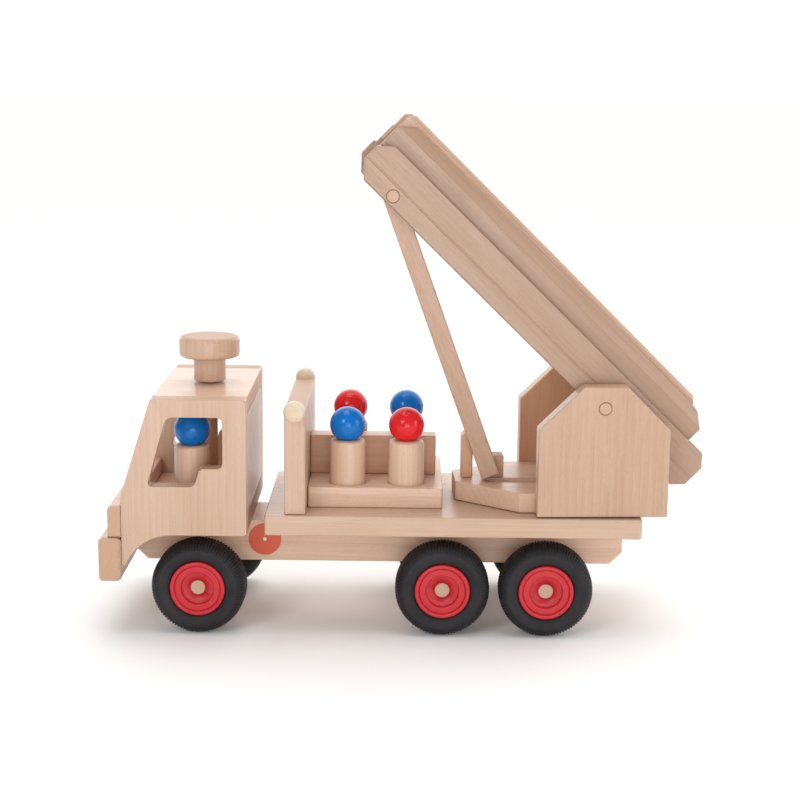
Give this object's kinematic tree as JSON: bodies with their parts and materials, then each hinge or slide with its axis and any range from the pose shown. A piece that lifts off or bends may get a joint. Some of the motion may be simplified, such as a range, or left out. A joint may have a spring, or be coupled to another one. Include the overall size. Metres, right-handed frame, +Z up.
{
  "type": "toy fire engine",
  "caption": "Wooden toy fire engine with a cab and driver, a bench of lift-out riders, steered front wheels and a raisable sliding ladder on a turntable.",
  "frame": {"origin": "on the ground under the middle of the truck's box, with the ladder raised as drawn", "axes": "+X toward the rear of the truck (it drives toward -X), +Y to its right side, +Z up"},
  "size_m": [0.4767, 0.165, 0.408],
  "materials": {
    "beech": "satin",
    "beech_light": "satin",
    "beech_dark": "satin",
    "ball_ivory": "satin",
    "head_red": "gloss",
    "head_blue": "gloss",
    "rim_red": "gloss",
    "tyre_rubber": "matt"
  },
  "bodies": {
    "chassis": {"chassis_beam": "beech", "deck_board": "beech_light", "bumper": "beech", "grille_board": "beech", "cab_side_left": "beech", "cab_side_right": "beech", "cab_roof": "beech_light", "cab_back": "beech", "cab_front": "beech", "cab_floor": "beech", "rear_axle_blocks": "beech", "headboard": "beech", "lamp_balls": "ball_ivory", "bench_board": "beech", "bench_backrest": "beech_dark"},
    "steering": {"steering_knob": "beech_light", "steering_shaft": "beech_dark", "front_axle_block": "beech"},
    "front_wheels": {"front_axle": "beech_light", "front_rim_left": "rim_red", "front_rim_right": "rim_red", "front_tyre_left": "tyre_rubber", "front_tyre_right": "tyre_rubber"},
    "rear_wheels_1": {"rear_axle_1": "beech_light", "rear_rim_1_left": "rim_red", "rear_rim_1_right": "rim_red", "rear_tyre_1_left": "tyre_rubber", "rear_tyre_1_right": "tyre_rubber"},
    "rear_wheels_2": {"rear_axle_2": "beech_light", "rear_rim_2_left": "rim_red", "rear_rim_2_right": "rim_red", "rear_tyre_2_left": "tyre_rubber", "rear_tyre_2_right": "tyre_rubber"},
    "turret": {"turntable_plate": "beech", "turntable_pin": "beech_light", "tower_plate_left": "beech", "tower_plate_right": "beech", "ladder_pivot_dowel": "beech_light", "prop_stops": "beech_dark"},
    "ladder_lower": {"ladder_1_rail_left": "beech", "ladder_1_rail_right": "beech", "ladder_1_rungs": "beech_light", "prop_dowel": "beech_light"},
    "prop_stay": {"prop": "beech_dark"},
    "ladder_middle": {"ladder_2_rail_left": "beech", "ladder_2_rail_right": "beech", "ladder_2_rungs": "beech_light"},
    "ladder_upper": {"ladder_3_rail_left": "beech", "ladder_3_rail_right": "beech", "ladder_3_rungs": "beech_light"},
    "driver": {"driver_body": "beech", "driver_head": "head_blue"},
    "rider_1": {"rider_1_body": "beech", "rider_1_head": "head_blue"},
    "rider_2": {"rider_2_body": "beech", "rider_2_head": "head_red"},
    "rider_3": {"rider_3_body": "beech", "rider_3_head": "head_red"},
    "rider_4": {"rider_4_body": "beech", "rider_4_head": "head_blue"}
  },
  "joints": [
    {"name": "steering_turn", "type": "hinge", "parent": "chassis", "child": "steering", "pos_m": [-0.1582, 0, 0.06], "axis": [0, 0, 1], "range_deg": [-10, 15]},
    {"name": "front_wheels_spin", "type": "hinge", "parent": "steering", "child": "front_wheels", "pos_m": [-0.1582, 0, 0.0375], "axis": [0.0436, 0.999, 0], "continuous": true},
    {"name": "rear_wheels_1_spin", "type": "hinge", "parent": "chassis", "child": "rear_wheels_1", "pos_m": [0.0329, 0, 0.0375], "axis": [0, 1, 0], "continuous": true},
    {"name": "rear_wheels_2_spin", "type": "hinge", "parent": "chassis", "child": "rear_wheels_2", "pos_m": [0.1152, 0, 0.0375], "axis": [0, 1, 0], "continuous": true},
    {"name": "turntable_turn", "type": "hinge", "parent": "chassis", "child": "turret", "pos_m": [0.15415, 0, 0.09], "axis": [0, 0, 1], "continuous": true},
    {"name": "ladder_elevate", "type": "hinge", "parent": "turret", "child": "ladder_lower", "pos_m": [0.15415, 0, 0.1862], "axis": [-0.0471, 0.9989, 0], "range_deg": [-41, 8]},
    {"name": "prop_swing", "type": "hinge", "parent": "ladder_lower", "child": "prop_stay", "pos_m": [-0.01199, -0.00783, 0.34794], "axis": [-0.0471, 0.9989, 0], "range_deg": [-22.1, 4.4]},
    {"name": "ladder_extend_2", "type": "slide", "parent": "ladder_lower", "child": "ladder_middle", "axis": [-0.7161, -0.0338, 0.6972], "range_m": [0, 0.22]},
    {"name": "ladder_extend_3", "type": "slide", "parent": "ladder_middle", "child": "ladder_upper", "axis": [-0.7161, -0.0338, 0.6972], "range_m": [0, 0.21]},
    {"name": "driver_spin", "type": "hinge", "parent": "chassis", "child": "driver", "pos_m": [-0.1686, -0.037, 0.098], "axis": [0, 0, 1], "continuous": true},
    {"name": "rider_1_lift", "type": "slide", "parent": "chassis", "child": "rider_1", "axis": [0, 0, 1], "range_m": [0, 0.06]},
    {"name": "rider_2_lift", "type": "slide", "parent": "chassis", "child": "rider_2", "axis": [0, 0, 1], "range_m": [0, 0.06]},
    {"name": "rider_3_lift", "type": "slide", "parent": "chassis", "child": "rider_3", "axis": [0, 0, 1], "range_m": [0, 0.06]},
    {"name": "rider_4_lift", "type": "slide", "parent": "chassis", "child": "rider_4", "axis": [0, 0, 1], "range_m": [0, 0.06]}
  ],
  "couplings": [
    {"joint": "prop_swing", "follows": "ladder_elevate", "ratio": 0.5366}
  ]
}
